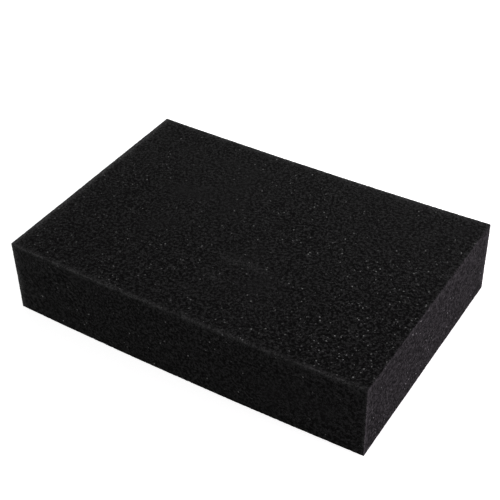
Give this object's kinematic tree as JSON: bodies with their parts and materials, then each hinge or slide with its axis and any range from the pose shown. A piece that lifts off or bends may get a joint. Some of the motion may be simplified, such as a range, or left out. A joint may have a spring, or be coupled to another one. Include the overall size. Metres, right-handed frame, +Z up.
{
  "type": "needle felting mat",
  "caption": "Thick rectangular slab of black open-cell foam with plain cut edges: a soft work surface that felting needles sink into.",
  "frame": {"origin": "middle of the underside, at the centre of the bounding box's bottom", "axes": "+X along the length, +Y from the front long side to the back one, +Z up from the underside to the work face"},
  "size_m": [0.3, 0.2063, 0.063],
  "materials": {
    "black_foam": "dull open-cell foam, knife cut"
  },
  "bodies": {
    "root": {"foam_block": "black_foam"}
  },
  "joints": []
}
